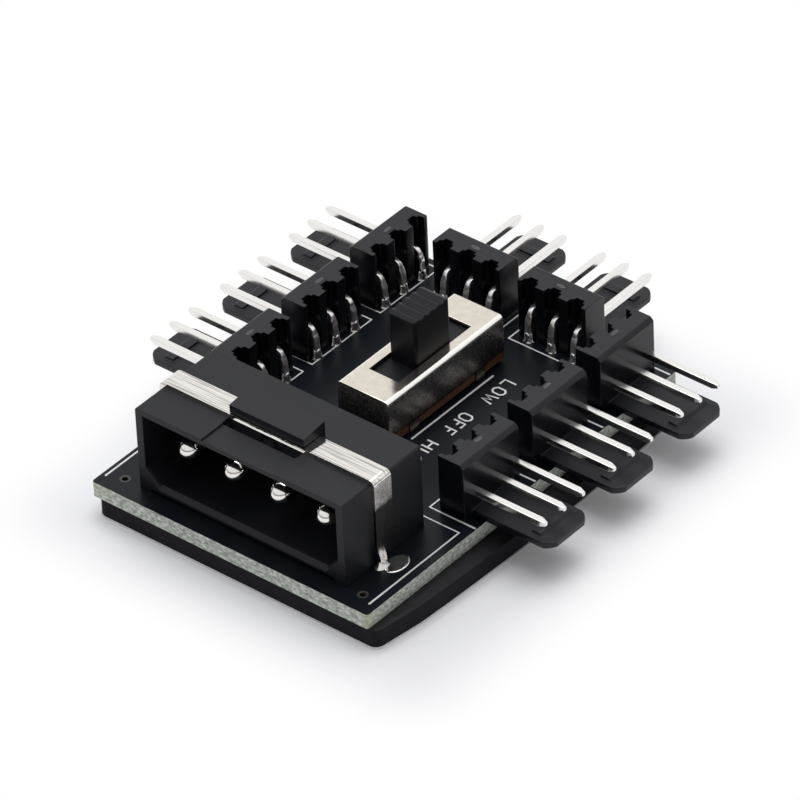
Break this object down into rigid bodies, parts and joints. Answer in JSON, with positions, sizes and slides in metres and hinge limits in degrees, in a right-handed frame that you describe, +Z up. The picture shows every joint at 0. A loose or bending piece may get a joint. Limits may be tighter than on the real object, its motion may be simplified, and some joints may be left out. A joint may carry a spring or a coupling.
{
  "type": "pc fan controller hub",
  "caption": "Small circuit board on an adhesive foam pad, with a power socket, a slide switch and fan headers on three edges.",
  "frame": {"origin": "middle of the circuit board's outline, on the underside of the release liner", "axes": "+Z up, square to the board; +Y along the board, away from the power socket's mouth; +X to the right seen from the socket's mouth"},
  "size_m": [0.0448, 0.0492, 0.0134],
  "materials": {
    "liner_paper": "smooth coated",
    "black_foam": "closed-cell foam",
    "black_board": "satin solder mask on glass laminate",
    "solder": "bright solder",
    "socket_nylon": "moulded satin",
    "tinned_strip": "bright tin",
    "power_pin_tin": "bright tin over brass",
    "header_nylon": "moulded satin",
    "fan_pin_tin": "bright tin over brass",
    "nickel_can": "bright nickel",
    "brown_laminate": "phenolic sheet",
    "switch_plastic": "moulded satin",
    "terminal_tin": "tinned",
    "contact_bronze": "plated bronze",
    "spring_steel": "plain"
  },
  "bodies": {
    "hub": {"release_liner": "liner_paper", "foam_pad": "black_foam", "circuit_board": "black_board", "solder_joints": "solder", "power_socket_housing": "socket_nylon", "power_socket_strap": "tinned_strip", "power_pin_1": "power_pin_tin", "power_pin_2": "power_pin_tin", "power_pin_3": "power_pin_tin", "power_pin_4": "power_pin_tin", "fan_header_left_1": "header_nylon", "fan_pin_left_1_ground": "fan_pin_tin", "fan_pin_left_1_supply": "fan_pin_tin", "fan_pin_left_1_sense": "fan_pin_tin", "fan_header_right_1": "header_nylon", "fan_pin_right_1_ground": "fan_pin_tin", "fan_pin_right_1_supply": "fan_pin_tin", "fan_pin_right_1_sense": "fan_pin_tin", "fan_header_left_2": "header_nylon", "fan_pin_left_2_ground": "fan_pin_tin", "fan_pin_left_2_supply": "fan_pin_tin", "fan_pin_left_2_sense": "fan_pin_tin", "fan_header_right_2": "header_nylon", "fan_pin_right_2_ground": "fan_pin_tin", "fan_pin_right_2_supply": "fan_pin_tin", "fan_pin_right_2_sense": "fan_pin_tin", "fan_header_left_3": "header_nylon", "fan_pin_left_3_ground": "fan_pin_tin", "fan_pin_left_3_supply": "fan_pin_tin", "fan_pin_left_3_sense": "fan_pin_tin", "fan_header_right_3": "header_nylon", "fan_pin_right_3_ground": "fan_pin_tin", "fan_pin_right_3_supply": "fan_pin_tin", "fan_pin_right_3_sense": "fan_pin_tin", "fan_header_back_1": "header_nylon", "fan_pin_back_1_ground": "fan_pin_tin", "fan_pin_back_1_supply": "fan_pin_tin", "fan_pin_back_1_sense": "fan_pin_tin", "fan_header_back_2": "header_nylon", "fan_pin_back_2_ground": "fan_pin_tin", "fan_pin_back_2_supply": "fan_pin_tin", "fan_pin_back_2_sense": "fan_pin_tin", "switch_can": "nickel_can", "switch_base": "brown_laminate", "switch_terminal_left_1": "terminal_tin", "switch_terminal_left_2": "terminal_tin", "switch_terminal_left_3": "terminal_tin", "switch_terminal_left_4": "terminal_tin", "switch_terminal_right_1": "terminal_tin", "switch_terminal_right_2": "terminal_tin", "switch_terminal_right_3": "terminal_tin", "switch_terminal_right_4": "terminal_tin"},
    "slider": {"switch_slider": "switch_plastic", "switch_contact_left": "contact_bronze", "switch_contact_right": "contact_bronze", "switch_detent_spring": "spring_steel"}
  },
  "joints": [
    {"name": "switch_slide", "type": "slide", "parent": "hub", "child": "slider", "axis": [0, 1, 0], "range_m": [-0.002, 0.002]}
  ]
}
